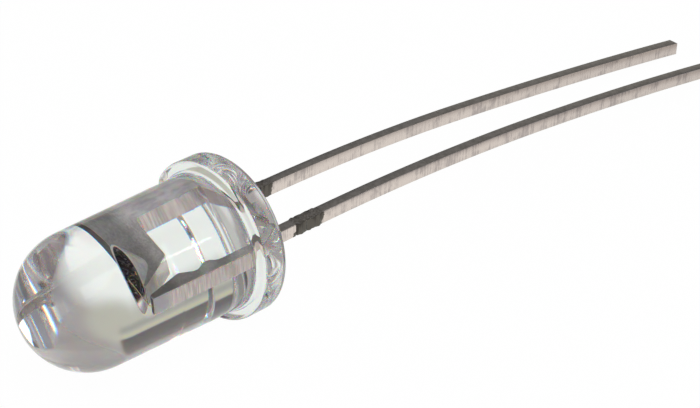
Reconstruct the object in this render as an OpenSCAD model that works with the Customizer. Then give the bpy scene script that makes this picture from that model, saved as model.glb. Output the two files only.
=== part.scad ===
// Clear 5 mm through-hole lamp: a cast epoxy body around a stamped two-lead frame.
// It is drawn upright, dome up, with the seating plane at height 0, the leads apart along
// Y (the cathode at +Y) and the sheet of the lead frame square to X. It is then laid on
// its side, dome towards -X, where it rests on its flange and on the ends of its leads.

/* [Cast body] */
// Diameter of the straight barrel above the flange
barrel_d = 5.0; // [4.9:0.05:5.3]
// Diameter of the barrel where the dome begins, after the mould's draft
dome_d = 4.86; // [4.7:0.02:4.92]
// Height of the dome's top above the seating plane
body_h = 8.75; // [8.2:0.05:9.6]
// Height of the line where the straight barrel ends and the draft begins
draft_h = 2.45; // [1.8:0.05:3.2]
// Step in the barrel's radius at that line
draft_step = 0.015; // [0.005:0.005:0.03]
// Diameter of the flange
flange_d = 5.88; // [5.7:0.02:6.2]
// Thickness of the flange
flange_h = 1.0; // [0.8:0.05:1.4]
// Rounding of the flange's two rims
flange_round = 0.12; // [0.05:0.01:0.2]
// Distance from the axis to the flat that marks the cathode
flat_y = 2.55; // [2.52:0.01:2.75]
// Radius of the dish in the underside, inside the ring that the body sits on
dish_r = 2.3; // [1.8:0.05:2.45]
// Depth of that dish, which the epoxy leaves as it shrinks
dish_depth = 0.12; // [0.05:0.01:0.2]
// Radius of the fillet that the epoxy forms where it climbs each lead
climb_r = 0.34; // [0.15:0.01:0.45]

/* [Lead frame] */
// Thickness of the sheet that the frame is stamped from
sheet_t = 0.51; // [0.4:0.01:0.6]
// Width of a lead and of its post, in the plane of the sheet
lead_w = 0.41; // [0.35:0.01:0.5]
// Distance between the middles of the two leads at the body
lead_pitch = 2.54; // [2.4:0.02:2.7]
// Height of the top of the cathode's head above the seating plane
post_h = 4.97; // [4.85:0.01:5.6]
// Distance from the seating plane to the remains of the dam bar
dam_from = 1.8; // [1.2:0.05:3]
// Width of the dam bar that joined the leads before they were trimmed
dam_w = 1.2; // [0.6:0.05:1.6]
// Stub that the dam bar left on the anode, on the side of the cathode
dam_stub_in = 0.17; // [0.05:0.01:0.3]
// Stub that the dam bar left on the outer side of each lead
dam_stub_out = 0.05; // [0.02:0.01:0.2]

/* [Cathode head and cup] */
// Height of the head's underside
head_from = 3.5; // [3.3:0.02:3.8]
// Distance past the axis that the head's underside reaches towards the anode
head_past = 0.08; // [0:0.01:0.2]
// Angle of the head's slanted edge from the axis
slant_angle = 27; // [20:1:30]
// Size of the slope between the head's underside and its post
head_fillet = 0.3; // [0.1:0.02:0.4]
// Distance that the head reaches past its post on the outer side
head_out = 0.25; // [0.1:0.01:0.4]
// Radius of the cup's mouth
cup_r = 0.72; // [0.65:0.01:0.8]
// Radius of the cup's floor
cup_floor_r = 0.3; // [0.27:0.01:0.36]
// Depth of the cup
cup_depth = 0.42; // [0.35:0.01:0.5]
// Wall of the cup at its mouth
cup_wall = 0.05; // [0.03:0.01:0.1]
// Angle of the cup's outside from the axis
cup_taper = 36.5; // [30:0.5:40]
// Metal under the cup's floor
cup_base = 0.28; // [0.15:0.01:0.4]

/* [Anode head] */
// How much higher the anode's tip stands than the cathode's head
anode_rise = 0.08; // [0:0.01:0.15]
// Height of the inner corner where the anode's slanted edge starts
anode_head_from = 3.6; // [3.5:0.02:3.8]
// Distance of that corner from the axis
anode_head_y = 0.84; // [0.8:0.01:1]
// Height over which the post widens into that corner
anode_flare = 0.6; // [0.3:0.05:0.7]
// Width left at the anode's tip, where the wire is stitched
anode_tip_w = 0.27; // [0.2:0.01:0.3]
// Height of the middle of the locking nub on the post
nub_h = 2.4; // [1.8:0.05:2.45]
// Reach of the locking nub past the post
nub_out = 0.17; // [0.05:0.01:0.25]
// Length of the locking nub's crest
nub_crest = 0.25; // [0.1:0.01:0.3]
// Length of each of the nub's two slopes
nub_slope = 0.3; // [0.1:0.01:0.3]

/* [Chip and wire] */
// Side of the square chip
chip_w = 0.32; // [0.24:0.01:0.34]
// Thickness of the chip
chip_h = 0.15; // [0.1:0.01:0.2]
// Thickness of the paste that holds the chip
paste_t = 0.03; // [0.01:0.01:0.05]
// Rim of paste that shows beyond the chip's corners
paste_rim = 0.04; // [0.01:0.01:0.06]
// Diameter of the bond wire
wire_d = 0.03; // [0.02:0.005:0.04]
// Distance of the ball bond from the chip's middle, away from the anode
bond_y = 0.08; // [0:0.01:0.1]
// Radius of the ball bond
ball_r = 0.045; // [0.035:0.005:0.06]
// Thickness of the ball bond
ball_h = 0.025; // [0.015:0.005:0.04]
// Clearance of the wire over the anode's tip
wire_clear = 0.055; // [0.045:0.005:0.15]
// Radius of the wire's bend above the ball bond
wire_bend = 0.12; // [0.06:0.01:0.2]
// Radius of the wire's bend above the stitch
stitch_bend = 0.045; // [0.03:0.005:0.045]
// Radius of the flattened stitch
stitch_r = 0.05; // [0.04:0.005:0.08]
// Thickness of the flattened stitch
stitch_h = 0.012; // [0.008:0.002:0.014]

/* [Leads] */
// Reach of the cathode's lead from the seating plane
cathode_reach = 26.6; // [20:0.1:30]
// How much further the anode's lead reaches
anode_extra = 2.0; // [1:0.1:3]
// Length of the cathode's lead before its first bend
cathode_straight = 1.0; // [0:0.1:4]
// Length of the anode's lead before its first bend
anode_straight = 2.5; // [0:0.1:4]
// Radius of the cathode lead's first bend
cathode_bend_r = 100; // [90:1:150]
// Radius of the anode lead's first bend
anode_bend_r = 113; // [90:1:150]
// Length of each lead's first bend, measured along the body's axis
bend_run = 12; // [8:0.5:14]
// Distance that the cathode's lead has strayed outwards at its end
cathode_stray = 0.25; // [0:0.01:0.6]

/* [Hidden] */
$fn = 96;

eps = 0.01;
spare = 4;                                  // more than any bend's droop
barrel_r = barrel_d / 2;
drafted_r = barrel_r - draft_step;          // radius just above the moulding line
flange_r = flange_d / 2;
dome_r = dome_d / 2;
dome_h = body_h - dome_r;                   // height where the barrel meets the dome
lead_in = (lead_pitch - lead_w) / 2;        // edges of a post, measured from the axis
lead_out = (lead_pitch + lead_w) / 2;
dam_to = dam_from + dam_w;
anode_reach = cathode_reach + anode_extra;
anode_top_h = post_h + anode_rise;
slant_past = head_past + (post_h - head_from) * tan(slant_angle);
cup_floor_h = post_h - cup_depth;
chip_floor_h = cup_floor_h + paste_t;
chip_top_h = chip_floor_h + chip_h;
ball_top_h = chip_top_h + ball_h;
wire_r = wire_d / 2;
wire_h = anode_top_h + wire_clear + wire_r; // height of the wire's level run
stitch_y = lead_out - anode_tip_w / 2;

// Lays the upright lamp down: its dome turns to -X and the sheet's +X face to the top
module laid() rotate([0, -90, 0]) children();

// An outline of the sheet, Y across and Z up, wide enough in X for the bent leads
module blank() rotate([90, 0, 90]) translate([0, 0, -spare]) linear_extrude(2 * spare) children();

// A side outline, X across and Z up, wide enough in Y for one lead and its head
module side() rotate([90, 0, 0]) translate([0, 0, -spare]) linear_extrude(2 * spare) children();

// Half of the cast body's section, from the axis outwards
module cast_section() {
    dish_ball_r = (dish_r * dish_r + dish_depth * dish_depth) / (2 * dish_depth);
    difference() {
        union() {
            square([flange_r - flange_round, flange_h]);
            translate([0, flange_round]) square([flange_r, flange_h - 2 * flange_round]);
            for (h = [flange_round, flange_h - flange_round])
                translate([flange_r - flange_round, h]) circle(flange_round);
            square([barrel_r, draft_h]);
            polygon([[0, flange_h], [drafted_r, flange_h], [drafted_r, draft_h], [dome_r, dome_h],
                     [0, dome_h]]);
            intersection() {
                translate([0, dome_h]) circle(dome_r);
                translate([0, dome_h]) square(dome_r + eps);
            }
        }
        translate([0, dish_depth - dish_ball_r]) circle(dish_ball_r, $fn = 1440);
    }
}

// Fillet of epoxy that climbs a lead, from the bottom of the dish down along the lead
module climb() {
    foot_r = lead_w / 2 + climb_r;
    translate([0, 0, dish_depth])
        mirror([0, 0, 1])
            rotate_extrude()
                difference() {
                    square([foot_r, climb_r]);
                    translate([foot_r, climb_r]) circle(climb_r);
                }
}

module cast_outside() {
    difference() {
        rotate_extrude() cast_section();
        translate([-flange_r, flat_y, -eps]) cube([flange_d, flange_r, flange_h + 2 * eps]);
    }
    for (y = [-lead_pitch / 2, lead_pitch / 2])
        translate([0, y, 0]) climb();
}

// Ring one sheet thick, starting at a radius. A negative radius turns the other way.
module sheet_ring(r) {
    inner = r > 0 ? r : -r - sheet_t;
    difference() {
        circle(inner + sheet_t, $fn = 1440);
        circle(inner, $fn = 1440);
    }
}

// Side outline of one lead and its post: straight down out of the body, then the first
// bend, then the radius that brings the end's lower corner level with the flange's rim
module droop(straight, bend_r, reach) {
    under_r = bend_r - sheet_t / 2;
    turn = asin(bend_run / under_r);
    across = [cos(turn), -sin(turn)];       // direction across the sheet where the bends meet
    start = [-sheet_t / 2, -straight];
    centre = start - [under_r, 0];
    meet = centre + under_r * across;
    corner = [-flange_r, -reach];
    fall = corner - meet;
    last_r = -(fall * fall) / (2 * fall * across);
    translate(start) square([sheet_t, straight + anode_top_h]);
    intersection() {
        translate(centre) sheet_ring(under_r);
        polygon([start + [spare, 0], start - [spare, 0], meet - spare * across, meet + spare * across]);
    }
    intersection() {
        translate(meet - last_r * across) sheet_ring(last_r);
        polygon([meet + spare * across, meet - spare * across, corner - [spare, 0], corner + [spare, 0]]);
    }
}

// Outer edge of a lead, from its end up to the body, with the dam bar's stub
function outer_edge(reach, stray) =
    [[lead_out + stray, -reach], [lead_out, -dam_to], [lead_out + dam_stub_out, -dam_to],
     [lead_out + dam_stub_out, -dam_from], [lead_out, -dam_from]];

// Inner edge of a lead, from the stub down to its end
function inner_edge(reach, stray) = [[lead_in, -dam_to], [lead_in + stray, -reach]];

// Sheet outline of the cathode: lead, post and the head that carries the cup
module cathode_outline() {
    head = [[lead_out, head_from], [lead_out + head_out, head_from], [lead_out + head_out, post_h],
            [-slant_past, post_h], [-head_past, head_from], [lead_in - head_fillet, head_from],
            [lead_in, head_from - head_fillet]];
    polygon(concat(outer_edge(cathode_reach, cathode_stray), head,
                   inner_edge(cathode_reach, cathode_stray)));
}

// Sheet outline of the anode: lead, post with its nub, and the slanted head
module anode_outline() {
    slope_end = nub_crest / 2 + nub_slope;
    head = [[lead_out, anode_top_h], [lead_out - anode_tip_w, anode_top_h], [anode_head_y, anode_head_from],
            [lead_in, anode_head_from - anode_flare]];
    nub = [[lead_in, nub_h + slope_end], [lead_in - nub_out, nub_h + nub_crest / 2],
           [lead_in - nub_out, nub_h - nub_crest / 2], [lead_in, nub_h - slope_end]];
    stub = [[lead_in, -dam_from], [lead_in - dam_stub_in, -dam_from], [lead_in - dam_stub_in, -dam_to]];
    polygon(concat(outer_edge(anode_reach, 0), head, nub, stub, inner_edge(anode_reach, 0)));
}

// Outside of the coined bowl that carries the cup, and the hollow inside it
module cup_bowl() {
    mouth_r = cup_r + cup_wall;
    under_h = cup_floor_h - cup_base;
    under_r = mouth_r - (post_h - under_h) * tan(cup_taper);
    rotate_extrude() polygon([[0, under_h], [under_r, under_h], [mouth_r, post_h], [0, post_h]]);
}

module cup_hollow() {
    translate([0, 0, cup_floor_h]) cylinder(h = cup_depth, r1 = cup_floor_r, r2 = cup_r);
    translate([0, 0, post_h]) cylinder(h = cup_depth, r = cup_r);
}

module upright_cathode() {
    difference() {
        union() {
            intersection() {
                blank() cathode_outline();
                side() droop(cathode_straight, cathode_bend_r, cathode_reach);
            }
            cup_bowl();
        }
        cup_hollow();
    }
}

module upright_anode() {
    mirror([0, 1, 0])
        intersection() {
            blank() anode_outline();
            side() droop(anode_straight, anode_bend_r, anode_reach);
        }
}

module upright_paste() {
    paste_r = chip_w * sqrt(2) / 2 + paste_rim;
    translate([0, 0, cup_floor_h]) cylinder(h = paste_t, r1 = paste_r, r2 = paste_r - paste_t / 2);
}

module upright_chip() {
    translate([-chip_w / 2, -chip_w / 2, chip_floor_h]) cube([chip_w, chip_w, chip_h]);
}

// A quarter bend of the wire in the YZ plane, from a level end at y = 0 down to y = -r
module wire_quarter(r) {
    rotate([0, 90, 0]) rotate([0, 0, 180]) rotate_extrude(angle = 90) translate([r, 0]) circle(wire_r);
}

module upright_wire() {
    stitch_foot_h = anode_top_h + stitch_h;
    rise_h = wire_h - wire_bend;
    drop_h = wire_h - stitch_bend;
    translate([0, bond_y, chip_top_h]) cylinder(h = ball_h, r = ball_r);
    translate([0, bond_y, ball_top_h - eps / 2]) cylinder(h = rise_h - ball_top_h + eps / 2, r = wire_r);
    translate([0, bond_y - wire_bend, rise_h]) mirror([0, 1, 0]) wire_quarter(wire_bend);
    translate([0, bond_y - wire_bend, wire_h]) rotate([90, 0, 0])
        cylinder(h = bond_y - wire_bend + stitch_y - stitch_bend, r = wire_r);
    translate([0, stitch_bend - stitch_y, drop_h]) wire_quarter(stitch_bend);
    translate([0, -stitch_y, stitch_foot_h - eps / 2])
        cylinder(h = drop_h - stitch_foot_h + eps / 2, r = wire_r);
    translate([0, -stitch_y, anode_top_h]) cylinder(h = stitch_h, r = stitch_r);
}

module cast_body() {
    color([0.88, 0.93, 0.9, 0.35])
        laid()
            difference() {
                cast_outside();
                upright_cathode();
                upright_anode();
                upright_paste();
                upright_chip();
                upright_wire();
            }
}

module cathode_frame() {
    color([0.72, 0.7, 0.68]) laid() upright_cathode();
}

module anode_frame() {
    color([0.72, 0.7, 0.68]) laid() upright_anode();
}

module die_attach() {
    color([0.8, 0.8, 0.78]) laid() upright_paste();
}

module led_chip() {
    color([0.35, 0.4, 0.5]) laid() upright_chip();
}

module bond_wire() {
    color([0.9, 0.75, 0.35]) laid() upright_wire();
}

cast_body();
cathode_frame();
anode_frame();
die_attach();
led_chip();
bond_wire();
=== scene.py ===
import math

import bmesh
import bpy
from mathutils import Matrix, Vector, noise


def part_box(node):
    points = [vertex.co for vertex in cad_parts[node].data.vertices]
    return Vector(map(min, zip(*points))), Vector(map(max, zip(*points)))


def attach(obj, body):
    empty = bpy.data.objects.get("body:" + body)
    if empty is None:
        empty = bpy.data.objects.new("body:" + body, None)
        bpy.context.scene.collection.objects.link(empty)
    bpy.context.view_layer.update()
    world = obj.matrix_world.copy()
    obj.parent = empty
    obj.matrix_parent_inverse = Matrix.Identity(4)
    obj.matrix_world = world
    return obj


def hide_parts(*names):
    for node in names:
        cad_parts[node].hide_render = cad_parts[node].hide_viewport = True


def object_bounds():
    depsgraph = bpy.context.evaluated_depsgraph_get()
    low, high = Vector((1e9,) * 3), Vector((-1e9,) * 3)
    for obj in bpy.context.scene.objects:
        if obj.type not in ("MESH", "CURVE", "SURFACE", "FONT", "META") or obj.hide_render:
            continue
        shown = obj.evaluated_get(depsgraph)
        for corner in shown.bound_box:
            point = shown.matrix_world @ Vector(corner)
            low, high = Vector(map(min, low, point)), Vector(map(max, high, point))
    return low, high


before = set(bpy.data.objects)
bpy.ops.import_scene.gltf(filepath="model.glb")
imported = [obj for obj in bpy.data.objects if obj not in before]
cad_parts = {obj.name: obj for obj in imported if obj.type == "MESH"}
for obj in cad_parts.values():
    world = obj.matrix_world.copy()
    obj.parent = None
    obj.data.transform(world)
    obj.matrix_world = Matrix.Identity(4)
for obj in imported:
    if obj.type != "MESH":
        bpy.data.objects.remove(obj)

mm = 0.001
cadLow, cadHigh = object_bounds()
castLow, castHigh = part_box("cast_body")
cathodeLow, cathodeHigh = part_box("cathode_frame")
anodeLow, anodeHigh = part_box("anode_frame")
pasteLow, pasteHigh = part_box("die_attach")
chipLow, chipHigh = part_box("led_chip")
wireLow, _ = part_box("bond_wire")
print("frame loaded:", len(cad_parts), "nodes")

flangeR = castHigh.z                        # the rim of the flange is the widest part
sheetHalf = anodeHigh.z                     # half the thickness of the stamped sheet
tipX = anodeLow.x                           # the anode's tip, where the wire is stitched
headTopX = cathodeLow.x                     # the cathode's head and the cup's mouth


def linkObject(name, data):
    made = bpy.data.objects.new(name, data)
    bpy.context.scene.collection.objects.link(made)
    return made


def addPiece(name, bm, material, nodeName=None, sharpAngle=35):
    bmesh.ops.recalc_face_normals(bm, faces=bm.faces)
    limit = math.radians(sharpAngle)
    for face in bm.faces:
        face.smooth = True
    for edge in bm.edges:
        if len(edge.link_faces) == 2:
            edge.smooth = edge.calc_face_angle() < limit
    mesh = bpy.data.meshes.new(name)
    bm.to_mesh(mesh)
    bm.free()
    mesh.materials.append(material)
    piece = linkObject(name, mesh)
    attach(piece, "root")
    if nodeName:
        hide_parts(nodeName)
    return piece


def revolve(profile, columns):              # profile of (x, radius) from pole to pole, about the X axis
    bm = bmesh.new()
    rings = []
    for x, radius in profile:
        if radius <= 0:
            rings.append([bm.verts.new((x, 0, 0))])
        else:
            rings.append([bm.verts.new((x, radius * math.cos(turn), radius * math.sin(turn)))
                          for turn in columns])
    count = len(columns)
    for ring, after in zip(rings, rings[1:]):
        for i in range(count):
            j = (i + 1) % count
            corners = [ring[i % len(ring)], ring[j % len(ring)],
                       after[j % len(after)], after[i % len(after)]]
            bm.faces.new(list(dict.fromkeys(corners)))
    return bm


def arcPoints(centre, radius, start, end, steps):   # (x, radius) pairs, angles in degrees from +X
    points = []
    for i in range(steps + 1):
        angle = math.radians(start + (end - start) * i / steps)
        points.append((centre[0] + radius * math.cos(angle), centre[1] + radius * math.sin(angle)))
    return points


def evenly(start, end, steps):
    return [start + (end - start) * i / steps for i in range(steps + 1)]


# helpers for the shaders

def newMaterial(name):
    material = bpy.data.materials.new(name)
    material.use_nodes = True
    material.node_tree.nodes.clear()
    return material, material.node_tree


def addNode(tree, kind, **settings):
    made = tree.nodes.new("ShaderNode" + kind)
    for key, value in settings.items():
        setattr(made, key, value)
    return made


def feed(tree, socket, value):              # value is a plain value or another node's socket
    if isinstance(value, bpy.types.NodeSocket):
        tree.links.new(value, socket)
    else:
        socket.default_value = value


def feedAll(tree, made, **values):          # input names, with an underscore for each space
    for name, value in values.items():
        feed(tree, made.inputs[name.replace("_", " ")], value)


def mathNode(tree, operation, *values):
    made = addNode(tree, "Math", operation=operation)
    for socket, value in zip(made.inputs, values):
        feed(tree, socket, value)
    return made.outputs[0]


def plus(tree, first, second):
    return mathNode(tree, "ADD", first, second)


def minus(tree, first, second):
    return mathNode(tree, "SUBTRACT", first, second)


def times(tree, first, second):
    return mathNode(tree, "MULTIPLY", first, second)


def absolute(tree, value):
    return mathNode(tree, "ABSOLUTE", value)


def rangeNode(tree, value, low, high, outLow=0.0, outHigh=1.0):
    made = addNode(tree, "MapRange", interpolation_type="SMOOTHSTEP")
    feedAll(tree, made, Value=value, From_Min=low, From_Max=high, To_Min=outLow, To_Max=outHigh)
    return made.outputs["Result"]


def fade(tree, value, zone, base=0.0):      # 0 at base plus the zone's first mm, 1 at base plus its second
    return rangeNode(tree, value, base + zone[0] * mm, base + zone[1] * mm)


def band(tree, value, low, high, soft):     # 1 between low and high, in mm
    rise = rangeNode(tree, value, (low - soft) * mm, (low + soft) * mm)
    fall = rangeNode(tree, value, (high + soft) * mm, (high - soft) * mm)
    return times(tree, rise, fall)


def mixNumbers(tree, factor, first, second):
    made = addNode(tree, "Mix", data_type="FLOAT")
    for index, value in ((0, factor), (2, first), (3, second)):
        feed(tree, made.inputs[index], value)
    return made.outputs[0]


def mixColours(tree, factor, first, second):
    made = addNode(tree, "Mix", data_type="RGBA")
    for index, value in ((0, factor), (6, first), (7, second)):
        feed(tree, made.inputs[index], value)
    return made.outputs[2]


def mixBy(tree, value, span, first, second):    # first at the span's start, second at its end
    return mixColours(tree, rangeNode(tree, value, *span), first, second)


def mixShaders(tree, factor, first, second):
    made = addNode(tree, "MixShader")
    for socket, value in zip(made.inputs, (factor, first, second)):
        feed(tree, socket, value)
    return made.outputs[0]


def noiseNode(tree, vector, scale, detail, rough=0.5, stretch=None):
    if stretch:
        shaped = addNode(tree, "Mapping")
        feedAll(tree, shaped, Vector=vector, Scale=stretch)
        vector = shaped.outputs["Vector"]
    made = addNode(tree, "TexNoise")
    feedAll(tree, made, Vector=vector, Scale=scale, Detail=detail, Roughness=rough)
    return made.outputs["Fac"]


def bumpNode(tree, height, strength, depth):
    made = addNode(tree, "Bump")
    feedAll(tree, made, Height=height, Strength=strength, Distance=depth * mm)
    return made.outputs["Normal"]


def splitVector(tree, vector):
    made = addNode(tree, "SeparateXYZ")
    feed(tree, made.inputs[0], vector)
    return made.outputs


def finishTree(tree, surface, kind="OutputMaterial"):
    feed(tree, addNode(tree, kind).inputs["Surface"], surface)


def rgb(red, green, blue):
    return (red, green, blue, 1.0)


# materials

epoxyLook = {
    "tint": rgb(0.985, 0.99, 0.985),        # a trace of green
    "ior": 1.52, "spread": 0.022,           # how far the blue index lies above the red one
    "haze": 0.015, "domeHaze": 0.06,        # roughness of the barrel and of the dome's end
    "hazeAlong": (-6.6, -7.8),              # where the one turns into the other, in mm
    "rippleScale": 900.0, "rippleStrength": 0.01, "rippleDepth": 0.02,     # faint flow marks from the mould
}


def makeEpoxy():
    look = epoxyLook
    material, tree = newMaterial("castEpoxy")
    place = addNode(tree, "TexCoord").outputs["Object"]
    flow = noiseNode(tree, place, look["rippleScale"], detail=1.0)
    bump = bumpNode(tree, flow, look["rippleStrength"], look["rippleDepth"])
    hazeFrom, hazeTo = (x * mm for x in look["hazeAlong"])
    haze = rangeNode(tree, splitVector(tree, place)["X"], hazeFrom, hazeTo, look["haze"], look["domeHaze"])
    shader = addNode(tree, "BsdfPrincipled")
    feedAll(tree, shader, Base_Color=look["tint"], Roughness=haze, IOR=look["ior"],
            Transmission_Weight=1.0, Normal=bump)
    split = None                            # each colour is bent by its own amount on the way in
    for colour, share in ((rgb(1, 0, 0), -0.5), (rgb(0, 1, 0), 0.0), (rgb(0, 0, 1), 0.5)):
        glass = addNode(tree, "BsdfGlass")
        feedAll(tree, glass, Color=colour, IOR=look["ior"] + share * look["spread"],
                Roughness=haze, Normal=bump)
        if split is None:
            split = glass.outputs[0]
            continue
        added = addNode(tree, "AddShader")
        feed(tree, added.inputs[0], split)
        feed(tree, added.inputs[1], glass.outputs[0])
        split = added.outputs[0]
    inside = addNode(tree, "NewGeometry").outputs["Backfacing"]
    finishTree(tree, mixShaders(tree, inside, split, shader.outputs[0]))
    return material


cup = {
    "mouthR": 0.72, "floorR": 0.3, "depth": 0.42, "wall": 0.05, "base": 0.28,
    "lip": 0.015, "taper": 36.5, "columns": 160,
}


metalLook = {
    "upperColour": rgb(0.86, 0.86, 0.845),  # the face of the sheet that is turned up, inside the epoxy, painted lighter than outside it as painted light
    "upperDark": rgb(0.56, 0.56, 0.55),
    "postColour": rgb(1.0, 0.99, 1.0),      # the cathode's post, lighter, streaked along its length
    "postDark": rgb(0.70, 0.68, 0.70),
    "underColour": rgb(0.85, 0.82, 0.80),
    "headShadeColour": rgb(0.48, 0.48, 0.47),    # painted shade on the upper face of the cathode's head, round the cup; the speckle in it is grain
    "headShadeDark": rgb(0.32, 0.32, 0.315),
    "frontLitColour": rgb(1.0, 0.99, 1.0),     # sheared edges at the dome's end of the frame, painted lighter as painted light
    "shearedColour": rgb(0.90, 0.83, 0.80),
    "shearedDark": rgb(0.57, 0.50, 0.48),
    "slopeColour": rgb(0.78, 0.76, 0.66),   # sheared edges that are turned towards the leads
    "endColour": rgb(0.20, 0.19, 0.185),    # sheared edges that are turned towards the dome
    "edgeGlintColour": rgb(1.0, 0.82, 0.60),     # a painted glint, tinted gold, on the rounded edges of the sheet
    # the cup's hollow, painted near black as painted shade; the lighter streaks in it are scratches
    "cupShadeColour": rgb(0.035, 0.03, 0.028),
    "cupStreak": rgb(0.62, 0.60, 0.58),
    "cupHighlight": rgb(1.0, 0.95, 0.94),       # a painted highlight on its lower side, where the light would mirror
    "coneLitColour": rgb(1.0, 0.99, 0.98),     # the outside of the cup, painted lighter than the head round it as painted light
    "coneLitDark": rgb(0.86, 0.85, 0.84),
    "rimColour": rgb(0.95, 0.90, 0.84),
    "outerShadeColour": rgb(0.36, 0.35, 0.33),   # the rolled faces outside the epoxy, painted darker than inside it as painted shade
    "outerShadeDark": rgb(0.26, 0.255, 0.235),
    "cleanColour": rgb(1.0, 0.91, 0.84),    # the sheared faces outside the epoxy
    "cleanDark": rgb(0.66, 0.60, 0.57),
    "tornColour": rgb(0.16, 0.15, 0.13),
    "tornFrom": 1.75, "tornTo": 3.10,       # stretch along the leads that the dam bar was torn from
    "tornSoft": 0.03, "fleckSoft": 0.1,     # how far its ends and the dark flecks beside it fade
    "tornRagged": 0.45, "tornSlant": 0.25,
    "rolledRough": 0.32, "shearedRough": 0.24, "frontRough": 0.6,
    "relief": 0.35, "reliefDepth": 0.006,
    "edgeTilt": 0.6,                        # how far up a rounded edge is turned
    "scratchValue": 0.52,                   # noise value along which the scratches in the cup run
    "rimInner": 0.01, "rimOuter": 0.07, "rimSoft": 0.005,       # the cup's rim, in mm from the mouth's edge
}
metalNoise = {                              # scale in 1/m, detail, roughness and stretch
    "grain": (14000.0, 4.0, 0.75),
    "mottle": (4200.0, 4.0, 0.7),
    "blotch": (1500.0, 3.0, 0.6),
    "strokes": (11000.0, 3.0, 0.75, (1.0, 0.15, 0.05)),
    "drawn": (9000.0, 3.0, 0.7, (0.12, 1.0, 1.0)),
    "hatch": (22000.0, 2.0, 0.6, (1.0, 0.12, 0.05)),
    "scratch": (5200.0, 2.0, 0.6, (0.35, 1.0, 1.6)),
}
metalSpan = {                               # noise values between which two tones are mixed
    "speckle": (0.50, 0.86), "drawn": (0.36, 0.60), "hatch": (0.30, 0.66), "slope": (0.3, 0.7),
    "edge": (0.40, 0.55), "cone": (0.6, 0.9), "scratch": (0.012, 0.004), "rolledOutside": (0.35, 0.65),
    "worn": (0.40, 0.53), "fleck": (0.4, 0.6), "rolled": (0.85, 1.1),
    "towardLeads": (0.2, 0.4), "towardDome": (-0.7, -0.9),      # and shares of the face's direction
    "upward": (0.75, 0.95), "downward": (-0.75, -0.95), "edgeTurn": (0.3, 0.2),
}
metalZone = {                               # where each look begins and where it is full, in mm
    "outsideAlong": (-0.3, 0.0),
    "headAcross": (1.7, 1.1), "headAlong": (-3.7, -4.2),
    "postAcross": (0.95, 1.15), "postAlong": (-3.9, -3.3),
    "frontAlong": (-4.2, -4.5),
    "edgeAbove": (0.012, 0.004), "edgeAcross": (0.2, 0.4),
    "coneAbove": (0.01, 0.03), "coneAlong": (-3.9, -4.1),
    "mouthPast": (0.05, 0.01), "hollowInward": (0.0, -0.05), "hollowAlong": (-4.4, -4.6),
    "bottom": (0.48, 0.66), "rimAlong": (0.03, 0.01),
}


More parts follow.
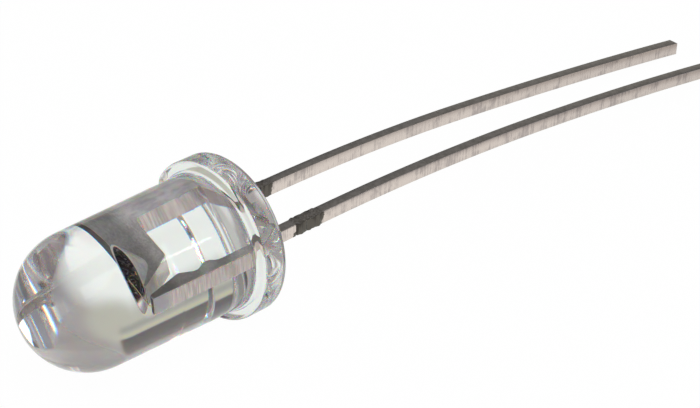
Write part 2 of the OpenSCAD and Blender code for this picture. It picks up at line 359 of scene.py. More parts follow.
def makeLeadMetal():
    look, span, zone = metalLook, metalSpan, metalZone
    material, tree = newMaterial("tinnedSteel")
    place = addNode(tree, "TexCoord").outputs["Object"]
    along, across, height = splitVector(tree, place)
    facingX, facingY, facingZ = splitVector(tree, addNode(tree, "NewGeometry").outputs["Normal"])
    grain, mottle, blotch, strokes, drawn, hatch, scratch = (
        noiseNode(tree, place, *settings) for settings in metalNoise.values())
    level = absolute(tree, height)
    # the faces of the sheet inside the epoxy
    speckle = rangeNode(tree, plus(tree, times(tree, blotch, 0.35), grain), *span["speckle"])
    upper = mixColours(tree, speckle, look["upperDark"], look["upperColour"])
    # the head's face round the cup gets darker tones: painted shade
    shadedHead = mixColours(tree, speckle, look["headShadeDark"], look["headShadeColour"])
    headShadeMask = times(tree, fade(tree, across, zone["headAcross"]), fade(tree, along, zone["headAlong"]))
    upper = mixColours(tree, headShadeMask, upper, shadedHead)
    post = mixBy(tree, drawn, span["drawn"], look["postDark"], look["postColour"])
    onPost = times(tree, fade(tree, across, zone["postAcross"]), fade(tree, along, zone["postAlong"]))
    upper = mixColours(tree, onPost, upper, post)
    sheared = mixBy(tree, hatch, span["hatch"], look["shearedDark"], look["shearedColour"])
    # near the dome's end the sheared faces are painted lighter, as painted light, and made rougher
    front = fade(tree, along, zone["frontAlong"])
    sheared = mixColours(tree, front, sheared, look["frontLitColour"])
    slope = mixBy(tree, mottle, span["slope"], look["upperColour"], look["slopeColour"])
    sheared = mixBy(tree, facingX, span["towardLeads"], sheared, slope)
    sheared = mixBy(tree, facingX, span["towardDome"], sheared, look["endColour"])
    inner = mixBy(tree, facingZ, span["upward"], sheared, upper)
    inner = mixBy(tree, facingZ, span["downward"], inner, look["underColour"])
    # its rounded edges, tinted gold as a painted glint
    rounded = absolute(tree, minus(tree, absolute(tree, facingZ), look["edgeTilt"]))
    rounded = rangeNode(tree, rounded, *span["edgeTurn"])
    rounded = times(tree, rounded, rangeNode(tree, mottle, *span["edge"]))
    rounded = times(tree, rounded, fade(tree, level, zone["edgeAbove"], sheetHalf))
    rounded = times(tree, rounded, fade(tree, across, zone["edgeAcross"]))
    inner = mixColours(tree, rounded, inner, look["edgeGlintColour"])
    # the cup
    onCone = times(tree, fade(tree, level, zone["coneAbove"], sheetHalf),
                   fade(tree, along, zone["coneAlong"]))
    # the cone's tones are raised as painted light; its mottle is grain
    cone = plus(tree, mottle, times(tree, grain, 0.5))
    cone = mixBy(tree, cone, span["cone"], look["coneLitDark"], look["coneLitColour"])
    inner = mixColours(tree, onCone, inner, cone)
    outward = plus(tree, times(tree, across, facingY), times(tree, height, facingZ))
    reach = mathNode(tree, "SQRT", plus(tree, times(tree, across, across), times(tree, height, height)))
    within = rangeNode(tree, reach, *((cup["mouthR"] + past) * mm for past in zone["mouthPast"]))
    hollow = times(tree, within, fade(tree, outward, zone["hollowInward"]))
    hollow = times(tree, hollow, fade(tree, along, zone["hollowAlong"]))
    # the hollow is painted near black as painted shade, crossed by scratch streaks
    scratch = absolute(tree, minus(tree, scratch, look["scratchValue"]))
    hollowShadeScratchAndHighlight = mixBy(tree, scratch, span["scratch"], look["cupShadeColour"], look["cupStreak"])
    # a painted highlight on the hollow's lower side
    bottom = minus(tree, times(tree, across, -1.0), height)
    hollowShadeScratchAndHighlight = mixColours(tree, fade(tree, bottom, zone["bottom"]), hollowShadeScratchAndHighlight, look["cupHighlight"])
    inner = mixColours(tree, hollow, inner, hollowShadeScratchAndHighlight)
    onRim = band(tree, reach, cup["mouthR"] - look["rimInner"], cup["mouthR"] + look["rimOuter"],
                 look["rimSoft"])
    onRim = times(tree, fade(tree, along, zone["rimAlong"], headTopX), onRim)
    inner = mixColours(tree, onRim, inner, look["rimColour"])
    # outside the epoxy, where the rolled faces are painted darker than inside it, as painted shade
    rolled = rangeNode(tree, plus(tree, absolute(tree, facingZ), times(tree, mottle, 0.5)), *span["rolled"])
    rolledOutside = mixBy(tree, mottle, span["rolledOutside"], look["outerShadeDark"], look["outerShadeColour"])
    worn = plus(tree, times(tree, blotch, 0.5), times(tree, strokes, 0.5))
    clean = mixBy(tree, worn, span["worn"], look["cleanDark"], look["cleanColour"])
    ragged = plus(tree, along, times(tree, minus(tree, mottle, 0.5), look["tornRagged"] * mm))
    ragged = minus(tree, ragged, times(tree, height, look["tornSlant"]))
    torn = times(tree, band(tree, ragged, look["tornFrom"], look["tornTo"], look["tornSoft"]),
                 minus(tree, 1.0, rolled))
    flecks = times(tree, band(tree, ragged, look["tornFrom"], look["tornTo"], look["fleckSoft"]),
                   rangeNode(tree, grain, *span["fleck"]))
    rolledOutside = mixColours(tree, flecks, rolledOutside, look["tornColour"])
    outer = mixColours(tree, rolled, clean, rolledOutside)
    outer = mixColours(tree, torn, outer, look["tornColour"])
    colour = mixColours(tree, fade(tree, along, zone["outsideAlong"]), inner, outer)
    duller = times(tree, front, look["frontRough"] - look["shearedRough"])
    rough = mixNumbers(tree, rolled, plus(tree, duller, look["shearedRough"]), look["rolledRough"])
    relief = bumpNode(tree, mixNumbers(tree, rolled, strokes, grain), look["relief"], look["reliefDepth"])
    shader = addNode(tree, "BsdfPrincipled")
    feedAll(tree, shader, Base_Color=colour, Metallic=1.0, Roughness=rough, Normal=relief)
    finishTree(tree, shader.outputs[0])
    return material


plainLooks = {                              # light and dark tone, roughness, metallic, grain in 1/m
    "silverPaste": (rgb(0.55, 0.54, 0.52), rgb(0.35, 0.34, 0.33), 0.6, 0.0, 20000.0),
    "chipCrystal": (rgb(0.14, 0.15, 0.17), rgb(0.06, 0.065, 0.08), 0.15, 0.0, 9000.0),
    "goldWire": (rgb(0.95, 0.78, 0.42), rgb(0.85, 0.66, 0.32), 0.25, 1.0, 9000.0),
}
plainGrain = {"detail": 3.0, "span": (0.3, 0.7), "relief": 0.2, "reliefDepth": 0.005}


def makePlain(name):
    light, dark, rough, metallic, scale = plainLooks[name]
    material, tree = newMaterial(name)
    grain = noiseNode(tree, addNode(tree, "TexCoord").outputs["Object"], scale, plainGrain["detail"])
    colour = mixBy(tree, grain, plainGrain["span"], dark, light)
    relief = bumpNode(tree, grain, plainGrain["relief"], plainGrain["reliefDepth"])
    shader = addNode(tree, "BsdfPrincipled")
    feedAll(tree, shader, Base_Color=colour, Metallic=metallic, Roughness=rough, Normal=relief)
    finishTree(tree, shader.outputs[0])
    return material


epoxyMaterial = makeEpoxy()
leadMaterial = makeLeadMetal()
pasteMaterial, chipMaterial, goldMaterial = (makePlain(name) for name in plainLooks)
print("materials made")


# the cast body

castBody = {
    "barrelR": 2.5,
    "draftedR": 2.495,                      # just above the moulding line
    "domeR": 2.43,
    "lineX": -2.45,                         # the moulding line
    "lineStep": 0.10,                       # length over which the radius steps out there
    "flangeT": 1.0,
    "shoulderFillet": 0.13,
    "rimRound": 0.12,
    "flatY": 2.55,
    "dishR": 2.55, "dishDepth": 0.65,       # the dish inside the ring that the body sits on
    "dishPower": 2.0,                       # how late the dish's bottom turns up to its ring
    "climb": 0.15, "climbReach": 0.32,      # height and reach of the epoxy drawn up each lead
    "unevenness": 0.25,                     # how much that fillet's reach varies around the lead
    "columns": 288, "domeSteps": 72, "draftSteps": 24, "lineSteps": 12,
    "dishSteps": ((2.0, 24), (0.2, 82), (0.0, 4)),     # rings down to each radius
}


def castProfile():
    shape = {key: value * mm for key, value in castBody.items() if key != "dishSteps"}
    centreX = castLow.x + shape["domeR"]
    points = [(castLow.x, 0.0)]
    points += arcPoints((centreX, 0.0), shape["domeR"], 179.0, 90.0, castBody["domeSteps"])
    wider, run = shape["draftedR"] - shape["domeR"], shape["lineX"] - centreX
    points += [(x, shape["domeR"] + wider * (x - centreX) / run)
               for x in evenly(centreX, shape["lineX"] - shape["lineStep"], castBody["draftSteps"])[1:]]
    for part in evenly(-0.5, 0.5, castBody["lineSteps"]):
        eased = 0.5 + 0.5 * math.sin(math.pi * part)
        points.append((shape["lineX"] + part * shape["lineStep"],
                       shape["draftedR"] + (shape["barrelR"] - shape["draftedR"]) * eased))
    fillet = shape["shoulderFillet"]
    shoulderX = -shape["flangeT"]
    points += [(x, shape["barrelR"])
               for x in evenly(shape["lineX"] + shape["lineStep"], shoulderX - fillet, 10)]
    points += arcPoints((shoulderX - fillet, shape["barrelR"] + fillet), fillet, -90.0, 0.0, 6)[1:]
    rim = shape["rimRound"]
    points += arcPoints((shoulderX + rim, flangeR - rim), rim, 180.0, 90.0, 8)
    points += [(x, flangeR) for x in evenly(shoulderX + rim, -rim, 6)[1:-1]]
    points += arcPoints((-rim, flangeR - rim), rim, 90.0, 0.0, 8)
    outer = flangeR - rim
    for radius, count in castBody["dishSteps"]:
        for r in evenly(outer, radius * mm, count)[1:]:
            hollow = 1.0 - (r / shape["dishR"]) ** castBody["dishPower"]
            points.append((-shape["dishDepth"] * max(hollow, 0.0), r))
        outer = radius * mm
    return points


def makeCastBody():
    count = castBody["columns"]
    columns = [2 * math.pi * i / count for i in range(count)]
    bm = revolve(castProfile(), columns)
    leadYs = [side * (plan["leadIn"] + plan["leadOut"]) / 2 * mm
              for side, plan in ((1, cathodePlan), (-1, anodePlan))]
    halfW = (anodePlan["leadOut"] - anodePlan["leadIn"]) / 2 * mm
    for vert in bm.verts:
        beyond = math.hypot(vert.co.y, vert.co.z) > castBody["dishR"] * mm
        if beyond or vert.co.x < -1.1 * castBody["dishDepth"] * mm:
            continue
        for leadY in leadYs:
            away = math.hypot(max(abs(vert.co.y - leadY) - halfW, 0.0),
                              max(abs(vert.co.z) - sheetHalf, 0.0))
            around = Vector((vert.co.y - leadY, vert.co.z, 0)).normalized()
            spot = 1.3 * around + Vector((7.0 * leadY / mm, 0, 0))
            uneven = 1.0 + castBody["unevenness"] * noise.noise(spot)
            short = 1.0 - away / (castBody["climbReach"] * uneven * mm)
            if short > 0:
                vert.co.x += castBody["climb"] * mm * short ** 3
    cut = bmesh.ops.bisect_plane(bm, geom=bm.verts[:] + bm.edges[:] + bm.faces[:],
                                 plane_co=(0, castBody["flatY"] * mm, 0), plane_no=(0, 1, 0),
                                 clear_outer=True)
    rim = [item for item in cut["geom_cut"] if isinstance(item, bmesh.types.BMEdge)]
    bmesh.ops.holes_fill(bm, edges=rim)
    return addPiece("castBody", bm, epoxyMaterial, "cast_body", sharpAngle=40)


# the lead frame

anodePlan = {                               # outline of the sheet in mm, measured from the body's axis
    "leadIn": 1.065, "leadOut": 1.475,
    "damFrom": 1.8, "damTo": 3.0, "stubIn": 0.04, "stubOut": 0.03, "notch": 0.05,
    "nubX": -2.4, "nubOut": 0.17, "nubCrest": 0.25, "nubSlope": 0.3,
    "headX": -3.6, "headY": 0.84, "flare": 0.6, "tipW": 0.27,
    "straight": 2.5, "bendR": 113.0, "bendRun": 12.0, "stray": 0.0,
    "headEase": (0.05, 0.1, 0.12, 0.25), "nubEase": 0.16,       # reach of the eased corners
}
cathodePlan = {
    "leadIn": 1.065, "leadOut": 1.475,
    "damFrom": 1.8, "damTo": 3.0, "stubOut": 0.03, "notch": 0.0,
    "headX": -3.5, "headPast": 0.08, "headOut": 0.25, "fillet": 0.3, "slant": 27.0,
    "straight": 1.0, "bendR": 100.0, "bendRun": 12.0, "stray": 0.25,
    "headEase": {1: 0.06, 3: 0.03, 4: 0.05},
}
sheetEdge = {
    "round": 0.07, "tornSteps": 26, "tornDepth": 0.045, "tornGrain": 9.0, "tornEase": 0.1,
    "tornSeed": 1795384832,                 # without a seed the torn faces would change with the clock
    "stubEase": 0.05, "notchEnd": 0.12,     # lengths of the slopes at the ends of a stub
    "anodeSteps": 76, "cathodeSteps": 74,   # cuts across each lead for its bend
}


def leadHeight(x, offset, plan, endX):      # height of a point that lies offset above the sheet's middle
    straight, bendR, run = plan["straight"] * mm, plan["bendR"] * mm, plan["bendRun"] * mm
    if x <= straight:
        return offset
    underR = bendR - sheetHalf
    turn = math.asin(run / underR)
    sinTurn, cosTurn = math.sin(turn), math.cos(turn)
    level = offset + sheetHalf              # height above the underside
    if x <= straight + run + level * sinTurn:
        return -sheetHalf - underR + math.sqrt((underR + level) ** 2 - (x - straight) ** 2)
    meetX, meetZ = straight + underR * sinTurn, -sheetHalf - underR + underR * cosTurn
    fallX, fallZ = endX - meetX, -flangeR - meetZ
    lastR = -(fallX ** 2 + fallZ ** 2) / (2 * (fallX * sinTurn + fallZ * cosTurn))
    centreX, centreZ = meetX - lastR * sinTurn, meetZ - lastR * cosTurn
    return centreZ + math.sqrt((lastR + level) ** 2 - (x - centreX) ** 2)


def outerEdge(plan, endX):
    out, ease = plan["leadOut"], sheetEdge["stubEase"]
    return [(endX, out + plan["stray"]), (plan["damTo"], out),
            (plan["damTo"] - ease, out + plan["stubOut"]),
            (plan["damFrom"] + sheetEdge["notchEnd"], out + plan["stubOut"]),
            (plan["damFrom"] + ease, out - plan["notch"]), (plan["damFrom"], out)]


def eased(points, reach):                   # rounds the corner at each point by its reach
    rounded = []
    for i, (x, y) in enumerate(points):
        here = Vector((x, y))
        before, after = Vector(points[i - 1]), Vector(points[(i + 1) % len(points)])
        r = min(reach.get(i, 0.0), (before - here).length * 0.45, (after - here).length * 0.45)
        if r <= 0:
            rounded.append((x, y))
            continue
        first = here + r * (before - here).normalized()
        last = here + r * (after - here).normalized()
        for t in (0.0, 0.25, 0.5, 0.75, 1.0):
            rounded.append(tuple((1 - t) ** 2 * first + 2 * t * (1 - t) * here + t ** 2 * last))
    return rounded


def anodeOutline(endX):
    plan, topX = anodePlan, tipX / mm
    inner, crest = plan["leadIn"], plan["nubCrest"] / 2
    slope, ease = crest + plan["nubSlope"], sheetEdge["stubEase"]
    points = outerEdge(plan, endX)
    first = len(points)
    points += [(topX, plan["leadOut"]), (topX, plan["leadOut"] - plan["tipW"]),
               (plan["headX"], plan["headY"]),
               (plan["headX"] + plan["flare"], inner), (plan["nubX"] - slope, inner),
               (plan["nubX"] - crest, inner - plan["nubOut"]),
               (plan["nubX"] + crest, inner - plan["nubOut"]),
               (plan["nubX"] + slope, inner), (plan["damFrom"], inner),
               (plan["damFrom"] + ease, inner - plan["stubIn"]),
               (plan["damTo"] - ease, inner - plan["stubIn"]),
               (plan["damTo"], inner), (endX, inner + plan["stray"])]
    reaches = plan["headEase"] + 4 * (plan["nubEase"],)
    return eased(points, {first + i: reach for i, reach in enumerate(reaches)})


def cathodeOutline(endX):
    plan, topX = cathodePlan, headTopX / mm
    past = plan["headPast"] + (plan["headX"] - topX) * math.tan(math.radians(plan["slant"]))
    points = outerEdge(plan, endX)
    first = len(points)
    points += [(plan["headX"], plan["leadOut"]), (plan["headX"], plan["leadOut"] + plan["headOut"]),
               (topX, plan["leadOut"] + plan["headOut"]), (topX, -past),
               (plan["headX"], -plan["headPast"]),
               (plan["headX"], plan["leadIn"] - plan["fillet"])]
    for i in range(1, 6):                   # the fillet between the head's underside and the post
        angle = math.radians(90 * i / 6)
        points.append((plan["headX"] + plan["fillet"] * (1 - math.cos(angle)),
                       plan["leadIn"] - plan["fillet"] * (1 - math.sin(angle))))
    points += [(plan["headX"] + plan["fillet"], plan["leadIn"]), (endX, plan["leadIn"] + plan["stray"])]
    return eased(points, {first + i: reach for i, reach in plan["headEase"].items()})


def makeSheet(outline, side):               # side is 1 for the cathode and -1 for the anode
    bm = bmesh.new()
    lower = [bm.verts.new((x * mm, side * y * mm, -sheetHalf)) for x, y in outline]
    face = bm.faces.new(lower)
    raised = bmesh.ops.extrude_face_region(bm, geom=[face])
    for item in raised["geom"]:
        if isinstance(item, bmesh.types.BMVert):
            item.co.z = sheetHalf
    bmesh.ops.recalc_face_normals(bm, faces=bm.faces)
    rims = [e for e in bm.edges if abs(e.verts[0].co.z - e.verts[1].co.z) < sheetHalf]
    bmesh.ops.bevel(bm, geom=rims, offset=sheetEdge["round"] * mm, segments=3, profile=0.5,
                    affect="EDGES", clamp_overlap=True)
    return bm


def cutAcross(bm, stations):
    for x in stations:
        bmesh.ops.bisect_plane(bm, geom=bm.verts[:] + bm.edges[:] + bm.faces[:], dist=1e-7,
                               plane_co=(x * mm, 0, 0), plane_no=(1, 0, 0))


def bendSheet(bm, plan, endX):
    for vert in bm.verts:
        vert.co.z = leadHeight(vert.co.x, vert.co.z, plan, endX)


def roughenTorn(bm, plan):                  # the faces that the dam bar was torn from
    low, high, soft = plan["damFrom"] * mm, plan["damTo"] * mm, sheetEdge["tornEase"] * mm
    ease = sheetEdge["stubEase"]
    noise.seed_set(sheetEdge["tornSeed"])
    cutAcross(bm, evenly(plan["damFrom"] - ease, plan["damTo"] + ease, sheetEdge["tornSteps"]))
    for vert in bm.verts:
        into = min((vert.co.x - low) / soft, (high - vert.co.x) / soft, 1.0)
        if into > 0:
            shift = noise.noise_vector(vert.co * sheetEdge["tornGrain"] / mm)
            vert.co.y += sheetEdge["tornDepth"] * mm * into * shift.y
            vert.co.z += sheetEdge["tornDepth"] * mm * into * 0.5 * shift.z


def makeAnode():
    endX = anodeHigh.x
    bm = makeSheet(anodeOutline(endX / mm), -1)
    roughenTorn(bm, anodePlan)
    cutAcross(bm, evenly(anodePlan["straight"], endX / mm - 0.1, sheetEdge["anodeSteps"]))
    bendSheet(bm, anodePlan, endX)
    return addPiece("anodeSheet", bm, leadMaterial, "anode_frame")


def makeCupSolid(hollow):
    columns = [2 * math.pi * i / cup["columns"] for i in range(cup["columns"])]
    size = {key: value * mm for key, value in cup.items()}
    floorX = headTopX + size["depth"]
    lip = size["lip"]
    if hollow:
        profile = [(headTopX - 0.2 * mm, 0.0), (headTopX - 0.2 * mm, size["mouthR"] + lip),
                   (headTopX - 0.001 * mm, size["mouthR"] + lip)]
        profile += arcPoints((headTopX + lip, size["mouthR"] + lip), lip, -180.0, -120.0, 4)
        profile += [(floorX - 0.05 * mm, size["floorR"] + 0.04 * mm),
                    (floorX - 0.012 * mm, size["floorR"]),
                    (floorX, size["floorR"] - 0.03 * mm), (floorX, 0.0)]
    else:
        outer = size["mouthR"] + size["wall"]
        foot = outer - (size["depth"] + size["base"]) * math.tan(math.radians(cup["taper"]))
        profile = [(headTopX, 0.0), (headTopX, outer - lip)]
        profile += arcPoints((headTopX + lip, outer - lip), lip, 180.0, 110.0, 4)[1:]
        profile += [(floorX + size["base"] - 0.04 * mm, foot + 0.03 * mm),
                    (floorX + size["base"] - 0.01 * mm, foot),
                    (floorX + size["base"], foot - 0.04 * mm), (floorX + size["base"], 0.0)]
    return revolve(profile, columns)


def addScratch(bm, name):
    mesh = bpy.data.meshes.new(name)
    bmesh.ops.recalc_face_normals(bm, faces=bm.faces)
    bm.to_mesh(mesh)
    bm.free()
    return linkObject(name, mesh)


def combine(base, other, operation):
    step = base.modifiers.new("combine", "BOOLEAN")
    step.operation = operation
    step.solver = "EXACT"
    step.object = other
    bpy.context.view_layer.update()
    evaluated = base.evaluated_get(bpy.context.evaluated_depsgraph_get())
    mesh = bpy.data.meshes.new_from_object(evaluated)
    base.modifiers.clear()
    base.data = mesh
    bpy.data.objects.remove(other)


def makeCathode():
    endX = cathodeHigh.x
    bm = makeSheet(cathodeOutline(endX / mm), 1)
    roughenTorn(bm, cathodePlan)
    cutAcross(bm, evenly(cathodePlan["straight"], endX / mm - 0.1, sheetEdge["cathodeSteps"]))
    bendSheet(bm, cathodePlan, endX)
    body = addScratch(bm, "sheetScratch")
    combine(body, addScratch(makeCupSolid(False), "bowlScratch"), "UNION")
    combine(body, addScratch(makeCupSolid(True), "hollowScratch"), "DIFFERENCE")
    bm = bmesh.new()
    bm.from_mesh(body.data)
    bpy.data.objects.remove(body)
    return addPiece("cathodeSheet", bm, leadMaterial, "cathode_frame", sharpAngle=30)


makeCastBody()
for piece in (makeAnode(), makeCathode()):
    evened = piece.modifiers.new("evenNormals", "WEIGHTED_NORMAL")
    evened.keep_sharp = True
print("casting and lead frame made")


# chip, paste and wire

paste = {
    "columns": 64, "edgeH": 0.01, "topShare": 0.86,
    "unevenness": 0.06, "lobes": 3, "lobeTurn": 0.7,    # how far the blob is from round
}


def makePaste():
    radius, count = pasteHigh.z, paste["columns"]
    columns = [2 * math.pi * i / count for i in range(count)]
    profile = [(pasteHigh.x, 0.0), (pasteHigh.x, radius), (pasteHigh.x - paste["edgeH"] * mm, radius),
               (pasteLow.x, radius * paste["topShare"]), (pasteLow.x, 0.0)]
    bm = revolve(profile, columns)
    for vert in bm.verts:
        around = math.atan2(vert.co.z, vert.co.y)
        lobe = math.sin(paste["lobes"] * around + paste["lobeTurn"])
        squeeze = 1.0 - paste["unevenness"] * (1 + lobe) / 2
        vert.co.y *= squeeze
        vert.co.z *= squeeze
    return addPiece("diePaste", bm, pasteMaterial, "die_attach")


chip = {"edgeRound": 0.008}


def makeChip():
    bm = bmesh.new()
    bmesh.ops.create_cube(bm, size=1.0)
    size, middle = chipHigh - chipLow, (chipHigh + chipLow) / 2
    for vert in bm.verts:
        vert.co = Vector((vert.co.x * size.x, vert.co.y * size.y, vert.co.z * size.z)) + middle
    bmesh.ops.bevel(bm, geom=bm.edges[:], offset=chip["edgeRound"] * mm, segments=2, profile=0.5,
                    affect="EDGES")
    return addPiece("chipBlock", bm, chipMaterial, "led_chip")


bond = {
    "wireR": 0.015, "y": 0.08, "ballR": 0.045, "ballH": 0.025, "rise": 0.12, "drop": 0.045,
    "stitchY": 1.34, "stitchH": 0.006, "sides": 12,
    "ballSquash": 0.4, "stitchSquash": 0.2,     # height of each bond, as a share of a ball's
}


def tube(points, radius, sides):
    bm = bmesh.new()
    rings = []
    side = Vector((0, 0, 1))
    for i, point in enumerate(points):
        ahead = (points[min(i + 1, len(points) - 1)] - points[max(i - 1, 0)]).normalized()
        across = ahead.cross(side).normalized()
        ring = [bm.verts.new(point + radius * (math.cos(a) * across + math.sin(a) * side))
                for a in (2 * math.pi * k / sides for k in range(sides))]
        rings.append(ring)
    for ring, after in zip(rings, rings[1:]):
        for k in range(sides):
            bm.faces.new((ring[k], ring[(k + 1) % sides], after[(k + 1) % sides], after[k]))
    bm.faces.new(rings[0][::-1])
    bm.faces.new(rings[-1])
    return bm


def makeWire():
    size = {key: value * mm for key, value in bond.items()}
    rise, drop = size["rise"], size["drop"]
    topX = wireLow.x + size["wireR"]
    footX = chipLow.x - size["ballH"] / 2
    ball = Vector((footX, size["y"], 0))
    stitch = Vector((tipX - size["stitchH"], -size["stitchY"], 0))
    points = [Vector((x, size["y"], 0)) for x in evenly(footX, topX + rise, 6)]
    points += [Vector((topX + rise * (1 - math.sin(a)), size["y"] - rise * (1 - math.cos(a)), 0))
               for a in evenly(0, math.pi / 2, 10)[1:]]
    points += [Vector((topX, y, 0)) for y in evenly(size["y"] - rise, -size["stitchY"] + drop, 16)[1:]]
    points += [Vector((topX + drop * (1 - math.cos(a)), -size["stitchY"] + drop * (1 - math.sin(a)), 0))
               for a in evenly(0, math.pi / 2, 6)[1:]]
    points += [stitch]
    bm = tube(points, size["wireR"], bond["sides"])
    for centre, squash in ((ball, bond["ballSquash"]), (stitch, bond["stitchSquash"])):
        made = bmesh.ops.create_uvsphere(bm, u_segments=20, v_segments=12, radius=size["ballR"])
        for vert in made["verts"]:
            vert.co.x *= squash
            vert.co += centre
    return addPiece("goldWire", bm, goldMaterial, "bond_wire")


makePaste()
makeChip()
makeWire()
print("chip, paste and wire made")


# floor, world, lamps and camera

stageLook = {
    "floorHalf": 1.5, "floorWhite": 0.985, "backdrop": rgb(0.985, 0.985, 0.985),
    "floorTone": rgb(0.9, 0.9, 0.9),        # the floor as the light that it throws back sees it
    "pale": rgb(0.85, 0.885, 0.85),         # the lit table as it shows through the epoxy
    "wall": rgb(0.40, 0.37, 0.345),         # the rest of the room, in patches of two tones
    "coolWall": rgb(0.34, 0.335, 0.355),
    "wallScale": 3.5, "wallSpan": (0.4, 0.6),
    "lean": 0.42, "paleUntil": 0.8, "wallFrom": 2.3,            # how far out the table is lit
    "paleMiddle": 38.0, "paleHalf": 42.0, "paleSoft": 22.0,     # azimuths of the lit table, in degrees
    "paleRise": (-0.10, -0.36), "leastDrop": 0.02,
    "tiltX": 0.36, "tiltY": 0.15,           # how the table's far edge slopes against the horizon
    "dim": rgb(0.085, 0.08, 0.078),         # the low part of the wall behind the table
    "dimFoot": (-0.093, -0.05), "dimTop": (0.50, 0.34),
    "asideFirst": (0.0, 0.12), "asideSecond": (0.0, 0.1), "asideLean": 0.3,     # directions that hold it
    "tableLine": rgb(0.50, 0.49, 0.33),     # the lit far edge of the table
    "lineBelow": 0.113, "lineSpan": (0.030, 0.008),
    "tableShade": rgb(0.33, 0.335, 0.30),   # a shaded strip in front of that edge
    "shadeBelow": 0.205, "shadeSpan": (0.09, 0.0),
    "bounces": 24,                          # light runs round inside the casting many times before it leaves
}

roomPatches = {                             # azimuth, elevation, sharp and soft radius in degrees, colour
    "farCorner": (-113, 45, 22, 38, rgb(0.25, 0.25, 0.275)),
    "doorway": (-103, 8, 8, 18, rgb(0.17, 0.17, 0.175)),
    "coolWindow": (-157, 12, 7, 13, rgb(0.40, 0.43, 0.62)),
    "litShelf": (135, -34, 8, 20, rgb(0.52, 0.53, 0.50)),
    "litShelfEnd": (163, -35, 8, 18, rgb(0.72, 0.72, 0.71)),
    "shelfShadow": (-170, -28, 4, 8, rgb(0.10, 0.10, 0.10)),
    "greyWall": (-55, -2, 12, 20, rgb(0.30, 0.295, 0.31)),
    "darkChair": (15, 27, 6, 13, rgb(0.13, 0.13, 0.14)),
    "greyEdge": (92, -7, 14, 27, rgb(0.22, 0.215, 0.205)),
    "darkEdge": (120, -11, 5, 9, rgb(0.06, 0.06, 0.06)),
    "underneath": (-10, -90, 32, 40, rgb(0.78, 0.77, 0.76)),
    "tableNear": (-58, -42, 14, 30, rgb(0.72, 0.705, 0.69)),
    "tableFar": (46, -9, 8, 20, rgb(0.49, 0.49, 0.42)),
    "litCeiling": (2, 56, 10, 20, rgb(0.60, 0.60, 0.63)),
    "brightWindow": (152, 27, 10, 15, rgb(1.2, 1.17, 1.13)),
    "darkCeiling": (-20, 50, 8, 14, rgb(0.12, 0.12, 0.13)),
}


def makeFloor():
    bm = bmesh.new()
    half = stageLook["floorHalf"]
    corners = [(-half, -half), (half, -half), (half, half), (-half, half)]
    bm.faces.new([bm.verts.new((x, y, cadLow.z)) for x, y in corners])
    mesh = bpy.data.meshes.new("paleFloor")
    bm.to_mesh(mesh)
    bm.free()
    floor = linkObject("paleFloor", mesh)
    material, tree = newMaterial("paleFloor")
    plain = addNode(tree, "BsdfDiffuse")
    feedAll(tree, plain, Color=stageLook["floorTone"])
    white = addNode(tree, "Emission")
    feedAll(tree, white, Color=rgb(1.0, 1.0, 1.0), Strength=1.0)
    clear = addNode(tree, "BsdfTransparent")
    rays = addNode(tree, "LightPath").outputs
    direct = times(tree, rays["Is Camera Ray"], stageLook["floorWhite"])
    mixed = mixShaders(tree, direct, plain.outputs[0], white.outputs[0])
    # in the epoxy and the metal the table is part of the world
    seenInside = mathNode(tree, "MAXIMUM", rays["Is Transmission Ray"], rays["Is Glossy Ray"])
    finishTree(tree, mixShaders(tree, seenInside, mixed, clear.outputs[0]))
    mesh.materials.append(material)


def addPatch(tree, colour, way, azimuth, elevation, sharp, soft, tone):
    turn, rise = math.radians(azimuth), math.radians(elevation)
    facing = addNode(tree, "VectorMath", operation="DOT_PRODUCT")
    feed(tree, facing.inputs[0], way)
    feed(tree, facing.inputs[1],
         (math.cos(turn) * math.cos(rise), math.sin(turn) * math.cos(rise), math.sin(rise)))
    patch = rangeNode(tree, facing.outputs["Value"],
                      math.cos(math.radians(soft)), math.cos(math.radians(sharp)))
    return mixColours(tree, patch, colour, tone)


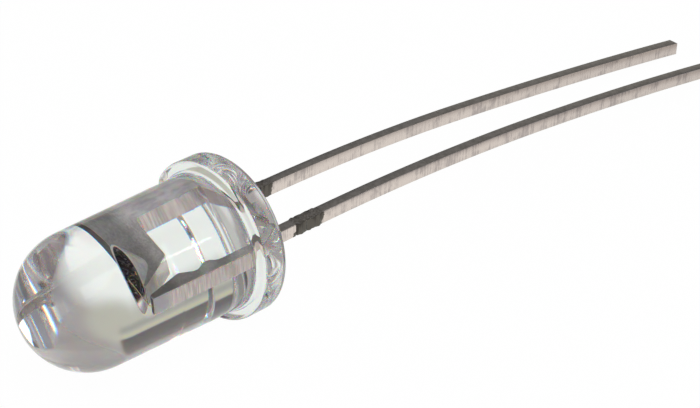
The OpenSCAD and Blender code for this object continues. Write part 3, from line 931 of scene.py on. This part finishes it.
def makeWorld():
    look = stageLook
    world = bpy.data.worlds.new("studio")
    world.use_nodes = True
    tree = world.node_tree
    tree.nodes.clear()
    way = addNode(tree, "TexCoord").outputs["Generated"]
    x, y, z = splitVector(tree, way)
    # the lit table
    drop = mathNode(tree, "MAXIMUM", times(tree, z, -1.0), look["leastDrop"])
    reach = mathNode(tree, "DIVIDE", minus(tree, x, times(tree, y, look["lean"])), drop)
    near = rangeNode(tree, reach, look["wallFrom"], look["paleUntil"])
    middle = math.radians(look["paleMiddle"])
    level = mathNode(tree, "SQRT", minus(tree, 1.0001, times(tree, z, z)))
    ahead = plus(tree, times(tree, x, math.cos(middle)), times(tree, y, math.sin(middle)))
    ahead = mathNode(tree, "DIVIDE", ahead, level)
    inside, beyond = (math.cos(math.radians(angle)) for angle in
                      (look["paleHalf"], look["paleHalf"] + look["paleSoft"]))
    near = times(tree, near, rangeNode(tree, ahead, beyond, inside))
    near = times(tree, near, rangeNode(tree, z, *look["paleRise"]))
    # the room
    tones = noiseNode(tree, way, look["wallScale"], detail=3.0, rough=0.6)
    wall = mixBy(tree, tones, look["wallSpan"], look["wall"], look["coolWall"])
    colour = mixColours(tree, near, wall, look["pale"])
    for patch in roomPatches.values():
        colour = addPatch(tree, colour, way, *patch)
    # the table's far edge, the dark behind it and the shaded strip in front of it
    tilted = plus(tree, minus(tree, z, times(tree, x, look["tiltX"])), times(tree, y, look["tiltY"]))
    leaned = minus(tree, x, times(tree, y, look["asideLean"]))
    aside = times(tree, rangeNode(tree, minus(tree, y, x), *look["asideFirst"]),
                  rangeNode(tree, leaned, *look["asideSecond"]))
    foot, top = rangeNode(tree, tilted, *look["dimFoot"]), rangeNode(tree, z, *look["dimTop"])
    colour = mixColours(tree, times(tree, times(tree, foot, top), aside), colour, look["dim"])
    for below, span, tone in (("shadeBelow", "shadeSpan", "tableShade"),
                              ("lineBelow", "lineSpan", "tableLine")):
        strip = absolute(tree, plus(tree, tilted, look[below]))
        strip = times(tree, rangeNode(tree, strip, *look[span]), aside)
        colour = mixColours(tree, strip, colour, look[tone])
    # the backdrop itself is as white as the floor
    direct = addNode(tree, "LightPath").outputs["Is Camera Ray"]
    colour = mixColours(tree, direct, colour, look["backdrop"])
    sky = addNode(tree, "Background")
    feedAll(tree, sky, Color=colour, Strength=1.0)
    finishTree(tree, sky.outputs[0], "OutputWorld")
    bpy.context.scene.world = world


lamps = {                                   # direction, distance and size in m, strength, who sees it
    "fillLamp": {"toward": (-0.25, -0.35, 0.9), "away": 0.6, "size": (0.5, 0.5), "white": 3.0,
                 "shown": False},
    "softBox": {"toward": (0.70, -0.54, 0.47), "away": 0.6, "size": (0.34, 0.30), "white": 1.2,
                "shown": True, "mirrored": False},
    "glintLamp": {"toward": (0.528, -0.602, 0.601), "away": 0.6, "size": (0.026, 0.036), "white": 4.5,
                  "shown": True, "tilt": -29.7},
}


def addLamp(name, plan):
    lamp = bpy.data.lights.new(name, "AREA")
    lamp.shape = "RECTANGLE"
    lamp.size, lamp.size_y = plan["size"]
    lamp.energy = plan["white"] * math.pi * lamp.size * lamp.size_y     # white is what a mirror would show
    made = linkObject(name, lamp)
    place = Vector(plan["toward"]).normalized()
    made.location = place * plan["away"]
    made.rotation_mode = "QUATERNION"
    turn = Matrix.Rotation(math.radians(plan.get("tilt", 0.0)), 3, "Z").to_quaternion()
    made.rotation_quaternion = place.to_track_quat("Z", "Y") @ turn
    made.visible_glossy = plan.get("mirrored", plan["shown"])
    made.visible_transmission = plan["shown"]
    made.visible_camera = False


cameraSpot = {
    "distance": 85.0,                       # mm from the eye to the seating plane's depth
    "azimuth": -45.96, "elevation": 32.07, "roll": 2.84,
    "lens": 126.36, "sensor": 36.0,
    "right": -4.189, "down": 0.951,         # the seating plane's centre from the view's centre, in mm
}


def makeCamera():
    spot = cameraSpot
    turn, rise, roll = (math.radians(spot[key]) for key in ("azimuth", "elevation", "roll"))
    back = Vector((math.sin(turn) * math.cos(rise), -math.cos(turn) * math.cos(rise), math.sin(rise)))
    right = Vector((math.cos(turn), math.sin(turn), 0))
    up = back.cross(right)
    rolledRight = math.cos(roll) * right + math.sin(roll) * up
    rolledUp = math.cos(roll) * up - math.sin(roll) * right
    eye = (back * spot["distance"] - rolledRight * spot["right"] + rolledUp * spot["down"]) * mm
    data = bpy.data.cameras.new("view")
    data.lens = spot["lens"]
    data.sensor_width = spot["sensor"]
    data.clip_start = 0.001
    data.clip_end = 10.0
    camera = linkObject("view", data)
    turned = Matrix((rolledRight, rolledUp, back)).transposed().to_4x4()
    turned.translation = eye
    camera.matrix_world = turned
    bpy.context.scene.camera = camera


makeFloor()
makeWorld()
for name, plan in lamps.items():
    addLamp(name, plan)
makeCamera()
scene = bpy.context.scene
scene.view_settings.view_transform = "Standard"
for kind in ("max_bounces", "glossy_bounces", "transmission_bounces", "transparent_max_bounces"):
    setattr(scene.cycles, kind, stageLook["bounces"])
print("stage, lamps and camera made")
